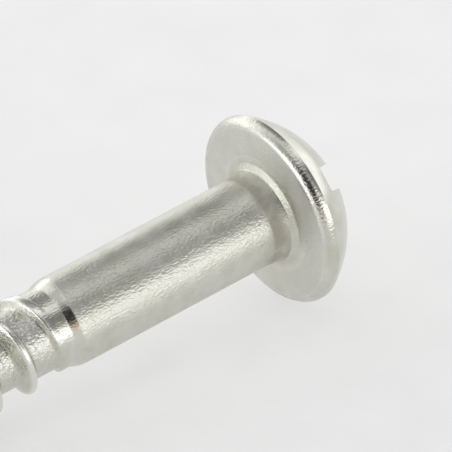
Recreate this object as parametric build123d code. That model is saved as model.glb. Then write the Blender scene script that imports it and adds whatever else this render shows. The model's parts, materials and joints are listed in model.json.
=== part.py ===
from build123d import *
import math
import os

# A slotted round-head wood screw, 6 x 40 mm, turned and rolled from one piece of stainless steel.
# It is drawn along X with the underside of the head at x = 0 and the point at -X, and is then
# tilted until it lies on the floor on its rim and its thread. Millimetres and degrees.

# Head
HEAD_DIAMETER = 12.0
HEAD_HEIGHT = 4.3
RIM_HEIGHT = 0.77           # underside to the widest circle of the head
RIM_LAND = 0.15             # straight part of the rim next to that circle
FACE_DIAMETER = 11.12       # flat underside, inside the round of the rim
FLARE_LENGTH = 1.5          # stretch of the shank that widens towards the head
FLARE_RISE = 0.19           # how much its radius grows
FLARE_ROUND = 0.3           # corner between it and the underside

# Slot for the screwdriver
SLOT_WIDTH = 1.6
SLOT_DEPTH = 2.5
SLOT_ANGLE = 137.0          # about the axis of the screw, from +Y towards +Z
SLOT_FLOOR_ROUND = 0.15

# Shank, and the neck in front of the thread
SHANK_DIAMETER = 5.58
SHANK_LENGTH = 15.3         # underside of the head to where the shank begins to narrow
NECK_DIAMETER = 5.06
NECK_SLOPE = 0.75           # length of the slope between shank and neck

# Thread
LENGTH = 40.0               # underside of the head to the point
THREAD_DIAMETER = 6.0
PITCH = 2.6
THREAD_START = 17.15        # underside of the head to where the crest leaves the neck
START_ANGLE = 137.0         # direction of the crest there, about the axis
RUN_OUT_TURNS = 1.5         # turns in which the crest rises to its full height
CREST_LAND = 0.28           # width of the crest
START_LAND = 0.72           # width of the crest where it leaves the neck
LAND_TURNS = 0.75           # turns in which it narrows from the one to the other
FLANK_ANGLE = 30.0
CORE_DIAMETER = 4.2
CORE_START_DIAMETER = 4.56  # core just behind the neck
CORE_EASE = 5.0             # length in which the core narrows to its full depth

# Gimlet point
POINT_LENGTH = 6.5          # cone of the core
POINT_DIAMETER = 0.36       # across the blunt tip
CREST_FADE = 1.2            # how far behind the tip the crest runs into the core
CREST_CURVE = 1.31          # 1 narrows the crest along a straight line, more along a bulged one

# Drawing of the ridge
ROOT_SINK = 0.2             # how deep the ridge of the thread is rooted in the core
LEAD_IN = 0.1               # turns that the ridge runs on inside the neck
STEPS_PER_TURN = 12
NUDGE = 0.001               # turns between the two points that give a tangent

head_r = HEAD_DIAMETER / 2
face_r = FACE_DIAMETER / 2
shank_r = SHANK_DIAMETER / 2
neck_r = NECK_DIAMETER / 2
thread_r = THREAD_DIAMETER / 2
core_r = CORE_DIAMETER / 2
core_start_r = CORE_START_DIAMETER / 2
point_r = POINT_DIAMETER / 2

rim_reach = RIM_HEIGHT - RIM_LAND
rim_round = (rim_reach**2 + (head_r - face_r) ** 2) / (2 * (head_r - face_r))
neck_start = SHANK_LENGTH + NECK_SLOPE
neck_end = THREAD_START - PITCH / 12
core_start = THREAD_START + PITCH / 6
cone_start = LENGTH - POINT_LENGTH
crest_end = LENGTH - CREST_FADE


def half_section():
    """Outline of the turned body above its axis, from the crown of the head to the point."""
    dome_rise = HEAD_HEIGHT - RIM_HEIGHT
    dome_r = (dome_rise**2 + head_r**2) / (2 * dome_rise)
    crown = (HEAD_HEIGHT, 0)
    rim_top = (RIM_HEIGHT, head_r)
    rim_low = (rim_reach, head_r)
    rim_foot = (0, face_r)
    flare_end = (0, shank_r + FLARE_RISE)
    with BuildSketch() as section:
        with BuildLine():
            RadiusArc(crown, rim_top, -dome_r)
            Line(rim_top, rim_low)
            RadiusArc(rim_low, rim_foot, -rim_round)
            Polyline(
                rim_foot,
                flare_end,
                (-FLARE_LENGTH, shank_r),
                (-SHANK_LENGTH, shank_r),
                (-neck_start, neck_r),
                (-neck_end, neck_r),
                (-core_start, core_start_r),
                (-core_start - CORE_EASE, core_r),
                (-cone_start, core_r),
                (point_r / 2 - LENGTH, point_r),
                (-LENGTH, point_r / 2),
                (-LENGTH, 0),
                crown,
            )
        make_face()
        fillet(section.vertices().sort_by_distance(flare_end)[0], FLARE_ROUND)
    return section.sketch


def core_radius(depth):
    """Radius of the core under the thread, at a depth below the underside of the head."""
    if depth < core_start:
        share = max(0, (depth - neck_end) / (core_start - neck_end))
        return neck_r + (core_start_r - neck_r) * share
    if depth < core_start + CORE_EASE:
        return core_start_r + (core_r - core_start_r) * (depth - core_start) / CORE_EASE
    if depth < cone_start:
        return core_r
    return core_r + (point_r - core_r) * (depth - cone_start) / (LENGTH - point_r / 2 - cone_start)


def crest_radius(depth):
    """Radius of the crest: it rises out of the neck and comes down again along the point."""
    if depth < cone_start:
        share = min(1, (depth - THREAD_START) / (RUN_OUT_TURNS * PITCH))
        return neck_r + (thread_r - neck_r) * math.sin(math.pi / 2 * share)
    share = (depth - cone_start) / (crest_end - cone_start)
    return thread_r + (core_radius(crest_end) - thread_r) * share**CREST_CURVE


def ridge_corner(turn, side, at_crest):
    """A corner of the ridge's section, so many turns past the start of the thread."""
    depth = THREAD_START + PITCH * turn
    crest = crest_radius(depth)
    root = core_radius(depth) - min(ROOT_SINK, core_radius(depth) / 2)
    radius = crest if at_crest else root
    land = START_LAND + (CREST_LAND - START_LAND) * min(1, max(0, turn / LAND_TURNS))
    half_land = land / 2 * min(1, crest / neck_r)
    half_width = half_land + (crest - radius) * math.tan(math.radians(FLANK_ANGLE))
    angle = math.radians(START_ANGLE - 360 * turn)
    return Vector(side * half_width - depth, radius * math.cos(angle), radius * math.sin(angle))


def ridge_stretch(start, end):
    """The ridge from one turn to another, as a solid with flat ends."""
    edges = []
    for side, at_crest in ((1, False), (1, True), (-1, True), (-1, False)):
        points = [
            ridge_corner(start + (end - start) * step / STEPS_PER_TURN, side, at_crest)
            for step in range(STEPS_PER_TURN + 1)
        ]
        tangents = [
            ridge_corner(turn + NUDGE, side, at_crest) - ridge_corner(turn - NUDGE, side, at_crest)
            for turn in (start, end)
        ]
        tangents = [tangent.normalized() for tangent in tangents]
        edges.append(Edge.make_spline(points, tangents=tangents, scale=False))
    faces = [Face.make_surface_from_curves(a, b) for a, b in zip(edges, edges[1:] + edges[:1])]
    for end_of_edge in (0, 1):
        ring = Wire.make_polygon([edge @ end_of_edge for edge in edges], close=True)
        faces.append(Face(ring))
    return Solid(Shell(faces))


def thread_ridge():
    """The whole ridge, from just inside the neck to the point, in stretches of about a turn."""
    turns = (crest_end - THREAD_START) / PITCH + LEAD_IN
    count = math.ceil(turns)
    stops = [turns * number / count - LEAD_IN for number in range(count + 1)]
    return [ridge_stretch(start, end) for start, end in zip(stops, stops[1:])]


def driver_slot():
    """The block that the slot takes out of the crown, right across the head."""
    block = Box(SLOT_DEPTH * 2, HEAD_DIAMETER * 2, SLOT_WIDTH)
    block = fillet(block.edges().filter_by(Axis.Y).group_by(Axis.X)[0], SLOT_FLOOR_ROUND)
    return Pos(X=HEAD_HEIGHT) * Rot(X=SLOT_ANGLE) * block


def resting_tilt():
    """Tilt at which the rim and the lowest crest of the thread touch the floor together."""
    tilts = []
    for degree in range(round(360 * (crest_end - THREAD_START) / PITCH)):
        depth = THREAD_START + PITCH * degree / 360
        drop = -crest_radius(depth) * math.sin(math.radians(START_ANGLE - degree))
        over = head_r - rim_round - drop
        along = rim_reach + depth
        tilts.append(math.atan2(over, along) + math.asin(rim_round / math.hypot(over, along)))
    return math.degrees(min(tilts))


turned = revolve(half_section(), Axis.X)
screw = turned.fuse(*thread_ridge()) - driver_slot()

lean = Rot(Y=-resting_tilt())
box = (lean * screw).bounding_box()
rest = Pos(-box.center().X, -box.center().Y, -box.min.Z) * lean
screw = rest * screw

os.makedirs("parts", exist_ok=True)
export_step(screw, "parts/wood_screw.step")
print("solids", len(screw.solids()), "volume", round(screw.volume, 1), "tilt", round(resting_tilt(), 2))
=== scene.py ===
import json
import math

import bmesh
import bpy
import numpy as np
from mathutils import Matrix, Vector


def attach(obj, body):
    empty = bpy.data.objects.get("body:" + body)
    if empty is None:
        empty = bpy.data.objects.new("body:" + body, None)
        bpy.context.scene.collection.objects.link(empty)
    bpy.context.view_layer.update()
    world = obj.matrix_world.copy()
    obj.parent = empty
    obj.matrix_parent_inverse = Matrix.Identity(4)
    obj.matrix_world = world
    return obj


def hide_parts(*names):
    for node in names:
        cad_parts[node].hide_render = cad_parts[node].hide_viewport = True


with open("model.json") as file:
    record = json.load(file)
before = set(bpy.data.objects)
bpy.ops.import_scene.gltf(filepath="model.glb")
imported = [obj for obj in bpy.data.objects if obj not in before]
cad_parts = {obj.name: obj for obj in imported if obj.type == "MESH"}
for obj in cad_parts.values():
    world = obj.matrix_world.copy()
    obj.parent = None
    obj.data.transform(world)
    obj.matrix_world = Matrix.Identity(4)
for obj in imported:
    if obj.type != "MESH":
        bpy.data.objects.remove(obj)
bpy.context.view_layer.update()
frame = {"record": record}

# The screw is drawn in millimetres along x, with the underside of its head at x = 0 and its point at -x.
# Angles run about that axis, in degrees from +y towards +z. PLACE then lays it down like the solid.
MM = 0.001
mounts = {mount["name"]: mount for mount in frame["record"]["mounts"]}
AXIS = -Vector(mounts["shank"]["axis"]).normalized()          # towards the head
on_axis = Vector(mounts["shank"]["pos_m"])
UNDERSIDE = on_axis + AXIS * (Vector(mounts["head_seat"]["pos_m"]) - on_axis).dot(AXIS)
SIDE = Vector((0, 1, 0))
UP = AXIS.cross(SIDE)
PLACE = Matrix.Translation(UNDERSIDE) @ Matrix((AXIS, SIDE, UP)).transposed().to_4x4()

# Light round the screw. A patch is its azimuth, elevation, inner and outer radius in degrees, and strength.
HORIZON = 1.1
OVERHEAD = 0.24
SKY_RAMP = (0.15, 0.62)     # heights, as the sine of the elevation, between which one turns into the other
BACKDROP = 0.87
PATCHES = (
    (14, 6, 16, 27, 1.1),
    (-97, 2, 14, 28, 1.3),
    (-172, 22, 18, 36, 0.8),
    (152, 2, 8, 20, 0.35),
    (90, 10, 15, 34, 0.35),
    (86, 66, 3, 18, 1.05),
    (-125, 58, 18, 48, 0.36),
    (8, 40, 4, 17, 0.4),
)
SHADE = (-45, 30, 14, 40, 0.9)
LAMP = (-40, 84, 8, 22, 0.6)
WARM = (-27, 5, 3, 12, 0.65)
WARM_COLOUR = (1.0, 0.42, 0.16, 1)
WHITE = (1, 1, 1, 1)

# Sizes of the head and slot
HEAD_R = 6.0
HEAD_HEIGHT = 4.3
RIM_HEIGHT = 0.77           # underside to the widest circle
RIM_REACH = 0.62            # underside to where the round of the rim begins
RIM_SOFT = 0.04             # round on the edge between rim and dome
FACE_R = 5.56
FACE_ROWS = (5.4, 5.25, 5.1, 4.95, 4.8, 4.6, 4.4, 4.2, 4.0, 3.8)
SLOT_HALF = 0.8
SLOT_DEPTH = 2.5
SLOT_ANGLE = 137.0
SLOT_ROUND = 0.15
SLOT_EDGE_SOFT = 0.05

# Sizes of the flare, shank and neck
FLARE_LENGTH = 1.5
FLARE_CORNER = ((0, 3.7), (-0.07, 3.3), (-0.31, 2.935))
FLARE_ROUNDS = (0, 0.3, 0.14, 0)
SHANK_R = 2.79
SHANK_STEP = 0.3
SHANK_STEPS = 43
NECK_R = 2.53
NECK_END = 16.3
CRISP_ANGLE = 138           # side on which the slope between shank and neck is crisp
SHOULDER_ROWS = 16

# Sizes of the thread and point. The curves are pairs of turns past its start and millimetres.
LENGTH = 40.0
THREAD_R = 3.0
PITCH = 2.6
THREAD_START = 17.15
START_ANGLE = 137.0
FLANK_ANGLE = 30
CORE_R = 2.1
CONE_START = 33.5
TIP_R = 0.18
CREST_END = 38.8
CREST_FADE = 0.6
CREST_CURVE = 1.31
CREST_SOFT = 0.035
ROOT_SOFT = 0.1
START_SOFT = 0.08           # how much softer the root is at the start of the thread
CREST_RISE = ((0.0, NECK_R), (0.25, 2.73), (0.75, 2.875), (1.25, 2.99), (1.6, THREAD_R))
CORE_FALL = ((-0.28, NECK_R), (-0.1, 2.45), (0.22, 2.27), (0.6, 2.18), (1.6, CORE_R))
HALF_LAND = ((-0.3, 0.36), (0.0, 0.35), (0.25, 0.25), (0.75, 0.14), (1.6, 0.13))
PAST_RUN_OUT = 9.0          # any turn at which these curves are level

# Gloss and grain of each stretch
DOME_FINISH = (0.8, 0.25)
LIP_FINISH = (0.9, 0.4)
RIM_FINISH = (0.8, 0.9)
FACE_EDGE_FINISH = (0.3, 0.5)
FACE_FINISH = (-0.7, 1.2)
CORNER_FINISH = (0.25, 1.1)
FLARE_FINISH = (0.3, 0.8)
FLARE_END_FINISH = (0.2, 0.8)
SHANK_TOP_FINISH = (0.1, 1.0)
SHANK_FINISH = (0.0, 1.0)
POINT_FINISH = (0.8, 0.5)

# Where the flare is darker and rougher, and where light is painted on: a lighter underside and painted
# highlights on the rim's foot and the crest
DULL_FLARE = ((-1.54, 0), (-1.47, 1), (-1.2, 1), (-0.7, 0.55), (-0.36, 0.0))
PAINTED_FOOT_HIGHLIGHT = ((0.0, 1), (0.05, 0.9), (0.15, 0))
PAINTED_CREST_HIGHLIGHT = ((0.0, 0.55), (0.1, 0.55), (0.2, 0))
FOOT_HIGHLIGHT_ANGLE = 125            # side on which the foot of the rim is bright
FOOT_HIGHLIGHT_SPREAD = 45
FACE_LIGHT_ANGLE = 145            # side on which the underside is bright
FACE_LIGHT_SPREAD = 50

# Mesh
GUARD = 0.012               # rows this close to a corner keep it crisp
RING_R = 5.75               # ring on the dome where the turned rows end and the slot's rows begin
SLOT_COLUMNS = (0.25, 0.5, 0.65, 0.72, 0.765, SLOT_HALF, 0.815, 0.85)
OTHER_COLUMNS = 36
SHARP_ANGLE = 38

DOME_RISE = HEAD_HEIGHT - RIM_HEIGHT
DOME_R = (DOME_RISE**2 + HEAD_R**2) / (2 * DOME_RISE)
DOME_X = HEAD_HEIGHT - DOME_R
SLOT_FLOOR = HEAD_HEIGHT - SLOT_DEPTH
RIM_ROUND = (RIM_REACH**2 + (HEAD_R - FACE_R) ** 2) / (2 * (HEAD_R - FACE_R))


def ramp(x, points):
    """Smooth curve through (x, value) pairs, level outside them."""
    xs = np.array([point[0] for point in points], float)
    ys = np.array([point[1] for point in points], float)
    x = np.clip(np.asarray(x, float), xs[0], xs[-1])
    i = np.clip(np.searchsorted(xs, x, side="right") - 1, 0, len(xs) - 2)
    t = (x - xs[i]) / (xs[i + 1] - xs[i])
    slopes = np.zeros(len(xs))
    step = np.diff(ys) / np.diff(xs)
    for k in range(1, len(xs) - 1):
        if step[k - 1] * step[k] > 0:
            slopes[k] = 2 * step[k - 1] * step[k] / (step[k - 1] + step[k])
    width = xs[i + 1] - xs[i]
    value_here = (1 + 2 * t) * (1 - t) ** 2
    slope_here = t * (1 - t) ** 2 * width
    value_next = t * t * (3 - 2 * t)
    slope_next = t * t * (t - 1) * width
    return value_here * ys[i] + slope_here * slopes[i] + value_next * ys[i + 1] + slope_next * slopes[i + 1]


def rounded(points, radii, steps):
    """Polyline with its inner corners replaced by arcs. radii has one number for each point."""
    out = [points[0]]
    for i in range(1, len(points) - 1):
        corner, before, after = (np.array(p, float) for p in (points[i], points[i - 1], points[i + 1]))
        if radii[i] <= 0:
            out.append(tuple(corner))
            continue
        back = (before - corner) / np.linalg.norm(before - corner)
        on = (after - corner) / np.linalg.norm(after - corner)
        half_angle = math.acos(max(-1, min(1, float(back @ on)))) / 2
        reach = radii[i] / math.tan(half_angle)
        centre = corner + (back + on) / np.linalg.norm(back + on) * radii[i] / math.sin(half_angle)
        start, end = corner + back * reach - centre, corner + on * reach - centre
        for k in range(steps + 1):
            t = k / steps
            spoke = start * (1 - t) + end * t
            out.append(tuple(centre + spoke / np.linalg.norm(spoke) * radii[i]))
    out.append(points[-1])
    return out


def dome_height(r):
    return DOME_X + np.sqrt(np.maximum(DOME_R**2 - np.asarray(r, float) ** 2, 0))


# Thread
def crest_radius(turn):
    depth = THREAD_START + PITCH * turn
    share = np.clip((depth - CONE_START) / (CREST_END - CONE_START), 0, 1)
    end = float(core_radius(CREST_END, PAST_RUN_OUT))
    painted_falloff = THREAD_R + (end - THREAD_R) * share**CREST_CURVE
    return np.where(depth < CONE_START, ramp(turn, CREST_RISE), painted_falloff)


def core_radius(depth, turn):
    """Floor of the groove. It deepens along the helix at the neck and narrows in a cone at the point."""
    depth = np.asarray(depth, float)
    cone = CORE_R + (TIP_R - CORE_R) * (depth - CONE_START) / (LENGTH - TIP_R / 2 - CONE_START)
    return np.where(depth < CONE_START, ramp(turn, CORE_FALL), np.minimum(cone, CORE_R))


def half_land(turn):
    return ramp(turn, HALF_LAND) * np.clip(crest_radius(turn) / THREAD_R, 0.15, 1)


def thread_surface(depth, angle):
    """Radius at a depth and an angle, and how deep in the groove that is from 0 to 1."""
    phase = (depth - THREAD_START) / PITCH - (START_ANGLE - angle) / 360
    turn = (START_ANGLE - angle) / 360 + np.round(phase)
    offset = depth - (THREAD_START + PITCH * turn)
    side = np.where(offset >= 0, 1.0, -1.0)
    crest = crest_radius(turn)
    floor = core_radius(depth, turn + side * 0.5)
    past = np.abs(offset) - half_land(turn)
    past = (past + np.sqrt(past**2 + CREST_SOFT**2)) / 2
    ridge = crest - past * math.tan(math.radians(90 - FLANK_ANGLE))
    height = np.clip(crest - floor, 0, None)
    soft = (ROOT_SOFT + START_SOFT * np.clip(1 - turn, 0, 1)) * np.clip(height / 0.45, 0, 1)
    radius = (ridge + floor + np.sqrt((ridge - floor) ** 2 + soft**2)) / 2
    fading = np.clip((depth - (CREST_END - CREST_FADE)) / CREST_FADE, 0, 1)
    radius = radius * (1 - fading) + np.minimum(floor, radius) * fading
    deep = np.clip((crest - radius) / np.maximum(height, 0.05), 0, 1) * np.clip(height / 0.3, 0, 1)
    return radius, deep


def thread_rows(angle, first, last):
    """Depths of the points down one column: always on the same lines of the helix."""
    depths = []
    base = (START_ANGLE - angle) / 360
    base -= math.floor(base)
    for whole in range(-3, 11):
        turn = base + whole
        crest_depth = THREAD_START + PITCH * turn
        land = float(half_land(turn))
        for side in (-1, 1):
            between = min(crest_depth + side * PITCH / 2, LENGTH - 0.2)
            floor = float(core_radius(between, turn + side * 0.5))
            flank = max(float(crest_radius(turn)) - floor, 0.15) * math.tan(math.radians(FLANK_ANGLE))
            flank = min(flank, 0.8 * (PITCH / 2 - land))
            level = PITCH / 2 - land - flank
            spots = [land * share for share in (0.5, 0.8, 0.93)]
            spots += [land + flank * share for share in (0.0, 0.05, 0.12, 0.3, 0.55, 0.75, 0.88, 1.0)]
            spots += [land + flank + level * share for share in (0.12, 0.25, 0.4, 0.6, 0.8)]
            if side > 0:
                spots += [0, PITCH / 2]
            depths += [crest_depth + side * spot for spot in spots]
    return sorted(depth for depth in depths if first + 0.02 < depth < last - 0.02)


# Columns round the axis, closer together beside the slot
def column_turns():
    """Angles of the columns past the slot's direction: a first quarter, mirrored twice."""
    quarter = [0.0] + [math.degrees(math.asin(q / RING_R)) for q in SLOT_COLUMNS]
    start = quarter[-1]
    quarter += [start + (90 - start) * k / OTHER_COLUMNS for k in range(1, OTHER_COLUMNS + 1)]
    turns = quarter + [180 - turn for turn in reversed(quarter[:-1])]
    turns += [360 - turn for turn in reversed(turns[1:-1])]
    return quarter, turns


quarter, turns = column_turns()
angles = np.array(turns) + SLOT_ANGLE
COLUMNS = len(angles)
EDGE = 1 + SLOT_COLUMNS.index(SLOT_HALF)      # column at the side of the slot


# Turned part
def turned_outline():
    """Rows from the ring on the dome down to the slope of the neck: x, radius, gloss and grain."""
    rows = [(float(dome_height(r)), r, *DOME_FINISH) for r in (RING_R, 5.8, 5.86, 5.92)]
    lip = [(RIM_HEIGHT + 0.08, 5.945), (RIM_HEIGHT, HEAD_R), (RIM_REACH, HEAD_R)]
    rows += [(x, r, *LIP_FINISH) for x, r in rounded(lip, (0, RIM_SOFT, 0), 6)[1:]]
    sweep = math.asin(RIM_REACH / RIM_ROUND)
    steps = 14
    for step in range(1, steps + 1):
        t = sweep * step / steps
        x, r = RIM_REACH - RIM_ROUND * math.sin(t), HEAD_R - RIM_ROUND + RIM_ROUND * math.cos(t)
        if step == steps:
            rows.append((x + GUARD, r + GUARD * 0.35, *RIM_FINISH))
        rows.append((x, r, *RIM_FINISH))
    rows.append((0.0, FACE_R - GUARD, *FACE_EDGE_FINISH))
    rows += [(0.0, r, *FACE_FINISH) for r in FACE_ROWS]
    corner = rounded([*FLARE_CORNER, (-FLARE_LENGTH, SHANK_R)], FLARE_ROUNDS, 9)
    rows += [(x, r, *CORNER_FINISH) for x, r in corner[:-1]]
    last_x, last_r = corner[-2]
    for t in (0.2, 0.4, 0.6, 0.8, 0.95):
        x, r = last_x + (-FLARE_LENGTH - last_x) * t, last_r + (SHANK_R - last_r) * t
        rows.append((x, r, *FLARE_FINISH))
    rows.append((-FLARE_LENGTH + GUARD, SHANK_R + 0.002, *FLARE_FINISH))
    rows.append((-FLARE_LENGTH, SHANK_R, *FLARE_END_FINISH))
    rows.append((-FLARE_LENGTH - GUARD, SHANK_R, *SHANK_TOP_FINISH))
    steps = range(1, SHANK_STEPS + 1)
    rows += [(-FLARE_LENGTH - SHANK_STEP * step, SHANK_R, *SHANK_FINISH) for step in steps]
    return rows


def shoulder(t, turned_to):
    """Depth and radius on the way from shank to neck: crisp on one side, soft on the others."""
    crisp = max(0.0, turned_to) ** 1.5
    depth = (14.85 + 0.75 * crisp) * (1 - t) + (16.15 + 0.08 * crisp) * t
    soft = t**1.6
    soft = soft * soft * (3 - 2 * soft)
    hard = min(1, max(0, (t - 0.06) / 0.86))
    hard = hard * 0.8 + 0.2 * hard * hard * (3 - 2 * hard)
    return depth, SHANK_R + (NECK_R - SHANK_R) * (soft * (1 - crisp) + hard * crisp)


# Marks kept with each point of the surface
vertices = []
marks = {name: [] for name in ("groove", "gloss", "grain", "flare_dark_rough", "painted_light")}
faces = []


def turned_from(y, z, angle):
    """Degrees between a point and an angle about the axis, from -180 to 180."""
    return (math.degrees(math.atan2(z, y)) - angle + 180) % 360 - 180


def flare_dark_rough(x, y, z):
    """The flare is darker and rougher than the rest."""
    if x > -1.55 and math.hypot(y, z) < 3.1:
        return float(ramp(x, DULL_FLARE))
    return 0.0


def painted_light(x, y, z, deep):
    """Painted light: the underside lighter, most on one side, and painted highlights on the foot of the rim
    on one side and on the crest.
    """
    r = math.hypot(y, z)
    if abs(x) < 0.005 and 3.5 < r < 5.55:
        return 0.25 + 0.5 * math.exp(-((turned_from(y, z, FACE_LIGHT_ANGLE) / FACE_LIGHT_SPREAD) ** 2))
    if -0.005 < x < 0.2 and 5.55 < r < 5.9:
        beside = math.exp(-((turned_from(y, z, FOOT_HIGHLIGHT_ANGLE) / FOOT_HIGHLIGHT_SPREAD) ** 2))
        return float(ramp(x, PAINTED_FOOT_HIGHLIGHT)) * beside
    if x < -17.3 and r > 2.5:
        return float(ramp(deep, PAINTED_CREST_HIGHLIGHT))
    return 0.0


def keep(x, y, z, deep, gloss, grain):
    """Add a point with its marks and return its number."""
    vertices.append((x, y, z))
    marks["groove"].append(deep)
    marks["gloss"].append(gloss)
    marks["grain"].append(grain)
    marks["flare_dark_rough"].append(flare_dark_rough(x, y, z))
    marks["painted_light"].append(painted_light(x, y, z, deep))
    return len(vertices) - 1


outline = turned_outline()
TURNED = len(outline) + SHOULDER_ROWS + 1


def column(angle):
    """Points down one side of the screw, from the ring on the dome to the tip: heights and numbers."""
    heights = []
    ids = []
    cos, sin = math.cos(math.radians(angle)), math.sin(math.radians(angle))

    def add(x, r, deep, gloss, grain):
        heights.append(x)
        ids.append(keep(x, r * cos, r * sin, deep, gloss, grain))

    for x, r, gloss, grain in outline:
        add(x, r, 0.0, gloss, grain)
    for k in range(SHOULDER_ROWS + 1):
        depth, r = shoulder(k / SHOULDER_ROWS, math.cos(math.radians(angle - CRISP_ANGLE)))
        add(-depth, r, 0.0, 0.6 * min(1, k / 4), 1 - 0.5 * min(1, k / 4))
    depths = thread_rows(angle, NECK_END, LENGTH - 0.3) + [LENGTH - 0.3, LENGTH - 0.2, LENGTH - TIP_R / 2]
    depths = np.array(depths)
    radii, deeps = thread_surface(depths, np.full(len(depths), angle))
    radii = np.where(depths > LENGTH - 0.5, core_radius(depths, PAST_RUN_OUT), radii)
    for depth, radius, deep in zip(depths, radii, deeps):
        add(-depth, radius, float(deep), 0.6, 0.5 + 0.5 * float(deep))
    add(-LENGTH, TIP_R / 2, 0.0, *POINT_FINISH)
    return heights, ids


def zip_lines(a, b, ids_a, ids_b):
    """Triangles between two lines of points, each with a falling or rising list of places."""
    i = j = 0
    while i < len(a) - 1 or j < len(b) - 1:
        if j == len(b) - 1:
            step_a = True
        elif i == len(a) - 1:
            step_a = False
        else:
            step_a = abs(a[i + 1] - b[j]) <= abs(b[j + 1] - a[i])
        if step_a:
            faces.append((ids_a[i], ids_a[i + 1], ids_b[j]))
            i += 1
        else:
            faces.append((ids_a[i], ids_b[j + 1], ids_b[j]))
            j += 1


# The turned rows match from column to column. The rows of the thread don't, so they are zipped.
columns = [column(angle) for angle in angles]
for c in range(COLUMNS):
    (heights_a, ids_a), (heights_b, ids_b) = columns[c], columns[(c + 1) % COLUMNS]
    for k in range(TURNED - 1):
        faces.append((ids_a[k], ids_a[k + 1], ids_b[k + 1], ids_b[k]))
    below = TURNED - 1
    zip_lines(heights_a[below:], heights_b[below:], ids_a[below:], ids_b[below:])
tip = keep(-LENGTH, 0, 0, 0.0, *POINT_FINISH)
for c in range(COLUMNS):
    faces.append((columns[c][1][-1], tip, columns[(c + 1) % COLUMNS][1][-1]))

# Dome and slot, in lines along the slot: p runs along it and q across it
slot_turn = math.radians(SLOT_ANGLE)


def top_point(p, q, x):
    y = p * math.cos(slot_turn) - q * math.sin(slot_turn)
    z = p * math.sin(slot_turn) + q * math.cos(slot_turn)
    return keep(x, y, z, 0.0, *DOME_FINISH)


def dome_point(p, q, drop=0.0):
    return top_point(p, q, float(dome_height(math.hypot(p, q))) - drop)


def floor_height(q):
    over = max(0.0, abs(q) - (SLOT_HALF - SLOT_ROUND))
    return SLOT_FLOOR + SLOT_ROUND - math.sqrt(max(SLOT_ROUND**2 - over**2, 0))


def edge_drop(p, q, beside):
    """How far the soft edge of the slot lies below the dome, at a distance beside the slot."""
    over = SLOT_EDGE_SOFT - beside
    drop = SLOT_EDGE_SOFT - math.sqrt(max(SLOT_EDGE_SOFT**2 - over**2, 0))
    above_floor = float(dome_height(math.hypot(p, q))) - SLOT_FLOOR
    return drop * min(1, max(0, (above_floor - 0.15) / 0.3))


def dome_line(q, chord, front, back):
    """A line beside the slot."""
    count = max(2, round(2 * chord / 0.22))
    places = [-chord + 2 * chord * n / count for n in range(count + 1)]
    beside = abs(q) - SLOT_HALF
    near = beside < SLOT_EDGE_SOFT
    ids = [dome_point(p, q, edge_drop(p, q, beside) if near else 0) for p in places[1:-1]]
    return q, places, [back, *ids, front], None


def slot_line(q, chord, front, back, at_edge):
    """A line in the slot. At its edge there is a second one above it, so that a wall joins the two."""
    height = floor_height(q)
    reach = math.sqrt(DOME_R**2 - (height - DOME_X) ** 2 - q * q)
    outer = [reach + (chord - reach) * t for t in (0.5, 1.0)]
    inner = [reach * (2 * n / 44 - 1) for n in range(45)]
    places = [-outer[1], -outer[0]] + inner + outer
    before = [back, dome_point(places[1], q)]
    low = [top_point(p, q, height) for p in inner]
    after = [dome_point(outer[0], q), front]
    if not at_edge:
        return q, places, None, before + low + after
    high = [dome_point(p, q, edge_drop(p, q, 0)) for p in inner[1:-1]]
    return q, places, before + [low[0], *high, low[-1]] + after, before + low + after


half = len(quarter) - 1                       # column at 90 degrees
lines = []                                    # q, places, numbers on the dome, numbers in the slot
for k in range(-half, half + 1):
    turn = quarter[abs(k)] * (1 if k >= 0 else -1)
    q = RING_R * math.sin(math.radians(turn))
    chord = math.sqrt(max(RING_R**2 - q * q, 0))
    front = columns[k % COLUMNS][1][0]
    back = columns[(2 * half - k) % COLUMNS][1][0]
    if abs(k) == half:
        lines.append((q, [0.0], [front], None))
    elif abs(k) > EDGE:
        lines.append(dome_line(q, chord, front, back))
    else:
        lines.append(slot_line(q, chord, front, back, abs(k) == EDGE))

for (q_a, places_a, dome_a, slot_a), (q_b, places_b, dome_b, slot_b) in zip(lines, lines[1:]):
    if abs((q_a + q_b) / 2) < SLOT_HALF:
        zip_lines(places_a, places_b, slot_a, slot_b)
    else:
        zip_lines(places_a, places_b, dome_a, dome_b)
for q, places, dome_ids, slot_ids in lines:
    if dome_ids and slot_ids:
        for n in range(len(places) - 1):
            quad = [dome_ids[n], dome_ids[n + 1], slot_ids[n + 1], slot_ids[n]]
            quad = [v for i, v in enumerate(quad) if v not in quad[:i]]
            if len(quad) > 2:
                faces.append(tuple(quad))

# The screw's surface as one piece
mesh = bpy.data.meshes.new("screw_surface")
mesh.from_pydata([PLACE @ (Vector(v) * MM) for v in vertices], [], faces)
mesh.validate()
screw = bpy.data.objects.new("screw_body", mesh)
bpy.context.scene.collection.objects.link(screw)
shell = bmesh.new()
shell.from_mesh(mesh)
bmesh.ops.recalc_face_normals(shell, faces=shell.faces)
shell.to_mesh(mesh)
shell.free()
mesh.shade_smooth()
mesh.set_sharp_from_angle(angle=math.radians(SHARP_ANGLE))
for name, values in marks.items():
    layer = mesh.attributes.new(name, "FLOAT", "POINT")
    layer.data.foreach_set("value", np.array(values, np.float32))
spot_layer = mesh.attributes.new("spot", "FLOAT_VECTOR", "POINT")
spot_layer.data.foreach_set("vector", np.array(vertices, np.float32).ravel())
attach(screw, "root")
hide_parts("wood_screw")

# Metal
metal = bpy.data.materials.new("stainless_steel")
metal.use_nodes = True
nodes, links = metal.node_tree.nodes, metal.node_tree.links
shader = nodes["Principled BSDF"]
shader.inputs["Metallic"].default_value = 1.0


def attribute(name, output="Fac"):
    node = nodes.new("ShaderNodeAttribute")
    node.attribute_name = name
    return node.outputs[output]


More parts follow.
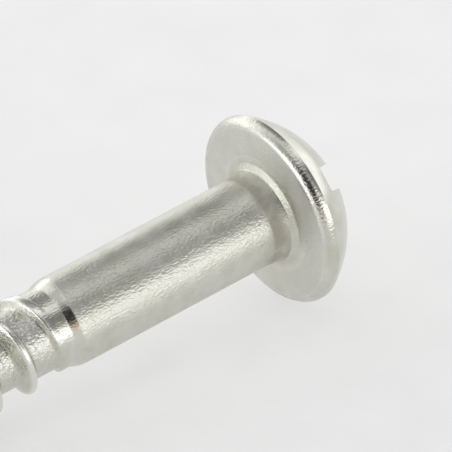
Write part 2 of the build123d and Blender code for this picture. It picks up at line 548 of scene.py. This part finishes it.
def maths(operation, a, b):
    node = nodes.new("ShaderNodeMath")
    node.operation = operation
    for socket, value in zip(node.inputs, (a, b)):
        if isinstance(value, (int, float)):
            socket.default_value = value
        else:
            links.new(value, socket)
    return node.outputs[0]


def speckle(along, across, detail, seed):
    """Noise in the screw's own directions. along and across are the sizes of its spots."""
    scale = nodes.new("ShaderNodeVectorMath")
    scale.operation = "MULTIPLY_ADD"
    scale.inputs[1].default_value = (1 / along, 1 / across, 1 / across)
    scale.inputs[2].default_value = (seed, seed * 2, seed * 3)
    links.new(attribute("spot", "Vector"), scale.inputs[0])
    node = nodes.new("ShaderNodeTexNoise")
    node.inputs["Scale"].default_value = 1.0
    node.inputs["Detail"].default_value = detail
    links.new(scale.outputs[0], node.inputs["Vector"])
    return node.outputs["Fac"]


def blend(value, low, high, at_low, at_high):
    node = nodes.new("ShaderNodeMapRange")
    for name, number in (("From Min", low), ("From Max", high), ("To Min", at_low), ("To Max", at_high)):
        node.inputs[name].default_value = number
    links.new(value, node.inputs["Value"])
    return node.outputs["Result"]


def tinted(factor, colour, other, blend_type="MIX"):
    """Mix of a colour, or a socket that gives one, with another colour."""
    node = nodes.new("ShaderNodeMix")
    node.data_type = "RGBA"
    node.blend_type = blend_type
    links.new(factor, node.inputs["Factor"])
    if isinstance(colour, tuple):
        node.inputs[6].default_value = colour
    else:
        links.new(colour, node.inputs[6])
    node.inputs[7].default_value = other
    return node.outputs[2]


gloss, grain, groove = attribute("gloss"), attribute("grain"), attribute("groove")
cloud = speckle(1.3, 1.3, 4.0, 3.0)
rough = blend(gloss, -1, 1, 0.54, 0.14)
rough = maths("ADD", rough, blend(cloud, 0.3, 0.7, -0.03, 0.05))
rough = maths("ADD", rough, blend(groove, 0, 1, 0, 0.06))
rough = maths("ADD", rough, blend(attribute("flare_dark_rough"), 0, 1, 0, 0.45))
links.new(rough, shader.inputs["Roughness"])

colour = tinted(blend(cloud, 0.35, 0.65, 0, 1), (0.60, 0.605, 0.525, 1), (0.695, 0.69, 0.635, 1))
patchy = blend(speckle(1.2, 0.8, 2.0, 31.0), 0.38, 0.62, 0.2, 1.9)
# The flare is darkened in patches
dull = maths("MULTIPLY", attribute("flare_dark_rough"), patchy)
colour = tinted(dull, colour, (0.88, 0.85, 0.84, 1), "MULTIPLY")
# Painted light: the underside lighter, and painted highlights on the rim's foot and the crest
colour = tinted(attribute("painted_light"), colour, (0.9, 0.9, 0.87, 1))
links.new(colour, shader.inputs["Base Color"])

fine = maths("MULTIPLY", maths("SUBTRACT", speckle(0.22, 0.125, 3.0, 11.0), 0.5), grain)
pits = maths("MULTIPLY", maths("SUBTRACT", speckle(0.28, 0.22, 2.0, 23.0), 0.5), groove)
bump = nodes.new("ShaderNodeBump")
bump.inputs["Strength"].default_value = 1.0
bump.inputs["Distance"].default_value = 0.00004
links.new(maths("ADD", fine, maths("MULTIPLY", pits, 1.8)), bump.inputs["Height"])
links.new(bump.outputs["Normal"], shader.inputs["Normal"])
mesh.materials.append(metal)

# Floor: paper that takes the shadow, with some plain paleness of its own for the camera and reflections,
# painted darker towards the camera's side as painted shade
PAPER_OWN_LIGHT = 0.48
FLOOR_HALF = 3.0
paper = bpy.data.materials.new("paper")
paper.use_nodes = True
leaves, joins = paper.node_tree.nodes, paper.node_tree.links
sheet = leaves["Principled BSDF"]
sheet.inputs["Base Color"].default_value = (0.95, 0.95, 0.95, 1)
sheet.inputs["Roughness"].default_value = 0.9
sheet.inputs["Specular IOR Level"].default_value = 0.1


def paper_range(value, low, high, at_low, at_high):
    node = leaves.new("ShaderNodeMapRange")
    for name, number in (("From Min", low), ("From Max", high), ("To Min", at_low), ("To Max", at_high)):
        node.inputs[name].default_value = number
    joins.new(value, node.inputs["Value"])
    return node.outputs["Result"]


def paper_maths(operation, a, b):
    node = leaves.new("ShaderNodeMath")
    node.operation = operation
    joins.new(a, node.inputs[0])
    if isinstance(b, float):
        node.inputs[1].default_value = b
    else:
        joins.new(b, node.inputs[1])
    return node.outputs[0]


place = leaves.new("ShaderNodeTexCoord").outputs["Object"]
# Painted shade: the paper's own paleness falls off towards the camera's side
slope = leaves.new("ShaderNodeVectorMath")
slope.operation = "DOT_PRODUCT"
slope.inputs[1].default_value = (0.62, 0.78, 0)
joins.new(place, slope.inputs[0])
painted_falloff = paper_range(slope.outputs["Value"], -0.035, 0.03, 0.99, 1.1)
fibres = leaves.new("ShaderNodeTexNoise")
fibres.inputs["Scale"].default_value = 260
fibres.inputs["Detail"].default_value = 5
joins.new(place, fibres.inputs["Vector"])
mottle = paper_range(fibres.outputs["Fac"], 0.25, 0.75, 0.97, 1.03)
pale = leaves.new("ShaderNodeEmission")
pale.inputs["Color"].default_value = WHITE
joins.new(paper_maths("MULTIPLY", painted_falloff, mottle), pale.inputs["Strength"])
ray = leaves.new("ShaderNodeLightPath").outputs
seen_or_mirrored = paper_maths("MAXIMUM", ray["Is Camera Ray"], ray["Is Glossy Ray"])
both = leaves.new("ShaderNodeMixShader")
joins.new(paper_maths("MULTIPLY", seen_or_mirrored, PAPER_OWN_LIGHT), both.inputs[0])
joins.new(sheet.outputs[0], both.inputs[1])
joins.new(pale.outputs[0], both.inputs[2])
joins.new(both.outputs[0], leaves["Material Output"].inputs["Surface"])

floor_mesh = bpy.data.meshes.new("floor")
corners = [(FLOOR_HALF * x, FLOOR_HALF * y, 0) for x, y in ((-1, -1), (1, -1), (1, 1), (-1, 1))]
floor_mesh.from_pydata(corners, [], [(0, 1, 2, 3)])
floor = bpy.data.objects.new("floor", floor_mesh)
bpy.context.scene.collection.objects.link(floor)
floor_mesh.materials.append(paper)

# Light
world = bpy.data.worlds.new("studio")
bpy.context.scene.world = world
world.use_nodes = True
sky, wires = world.node_tree.nodes, world.node_tree.links
background = sky["Background"]
direction = sky.new("ShaderNodeTexCoord").outputs["Generated"]
split = sky.new("ShaderNodeSeparateXYZ")
wires.new(direction, split.inputs[0])


def toward(azimuth, elevation):
    """Direction from the screw at an azimuth and elevation in degrees. Azimuth 0 is -Y."""
    a, e = math.radians(azimuth), math.radians(elevation)
    return Vector((math.sin(a) * math.cos(e), -math.cos(a) * math.cos(e), math.sin(e)))


def sky_range(value, low, high, at_low, at_high):
    node = sky.new("ShaderNodeMapRange")
    node.interpolation_type = "SMOOTHSTEP"
    for name, number in (("From Min", low), ("From Max", high), ("To Min", at_low), ("To Max", at_high)):
        node.inputs[name].default_value = number
    wires.new(value, node.inputs["Value"])
    return node.outputs["Result"]


def sky_maths(operation, a, b):
    node = sky.new("ShaderNodeMath")
    node.operation = operation
    for socket, value in zip(node.inputs, (a, b)):
        if isinstance(value, (int, float)):
            socket.default_value = value
        else:
            wires.new(value, socket)
    return node.outputs[0]


def patch(azimuth, elevation, inner, outer, strength):
    """A soft round area of light in the sky. inner and outer are degrees from its middle."""
    dot = sky.new("ShaderNodeVectorMath")
    dot.operation = "DOT_PRODUCT"
    dot.inputs[1].default_value = toward(azimuth, elevation)
    wires.new(direction, dot.inputs[0])
    inner, outer = math.cos(math.radians(inner)), math.cos(math.radians(outer))
    return sky_range(dot.outputs["Value"], outer, inner, 0, strength)


light = sky_range(split.outputs["Z"], *SKY_RAMP, HORIZON, OVERHEAD)
for place in PATCHES:
    light = sky_maths("ADD", light, patch(*place))
light = sky_maths("MULTIPLY", light, sky_maths("SUBTRACT", 1, patch(*SHADE)))
light = sky_maths("ADD", light, patch(*LAMP))
warm_patch = patch(*WARM)
light = sky_maths("ADD", light, warm_patch)

warm = sky.new("ShaderNodeMix")
warm.data_type = "RGBA"
warm.inputs[6].default_value = WHITE
warm.inputs[7].default_value = WARM_COLOUR
wires.new(warm_patch, warm.inputs["Factor"])

# The camera itself sees a plain pale backdrop
seen = sky.new("ShaderNodeLightPath").outputs["Is Camera Ray"]
level = sky.new("ShaderNodeMix")
level.data_type = "FLOAT"
wires.new(seen, level.inputs["Factor"])
wires.new(light, level.inputs[2])
level.inputs[3].default_value = BACKDROP
wires.new(level.outputs[0], background.inputs["Strength"])
hue = sky.new("ShaderNodeMix")
hue.data_type = "RGBA"
wires.new(seen, hue.inputs["Factor"])
wires.new(warm.outputs[2], hue.inputs[6])
hue.inputs[7].default_value = WHITE
wires.new(hue.outputs[2], background.inputs["Color"])

# Camera, far off with a long lens. The middle of the picture is a little below the head, beside the axis.
CAMERA_AZIMUTH, CAMERA_ELEVATION = -38.5, 33.04
DISTANCE_MM = 500
WIDTH_MM = 26.6             # what the picture spans at the screw
SENSOR_MM = 36
AIM_ALONG, AIM_ACROSS = -2.69, -0.406
back = toward(CAMERA_AZIMUTH, CAMERA_ELEVATION)
near_side = (back - AXIS * back.dot(AXIS)).normalized()
across = AXIS.cross(near_side)
aim = UNDERSIDE + AXIS * (AIM_ALONG * MM) + across * (AIM_ACROSS * MM)
camera_data = bpy.data.cameras.new("camera")
camera_data.sensor_width = SENSOR_MM
camera_data.lens = SENSOR_MM * DISTANCE_MM / WIDTH_MM
camera_data.clip_start = 0.01
camera = bpy.data.objects.new("camera", camera_data)
camera.location = aim + back * (DISTANCE_MM * MM)
camera.rotation_euler = back.to_track_quat("Z", "Y").to_euler()
bpy.context.scene.collection.objects.link(camera)
bpy.context.scene.camera = camera
bpy.context.scene.view_settings.view_transform = "Standard"
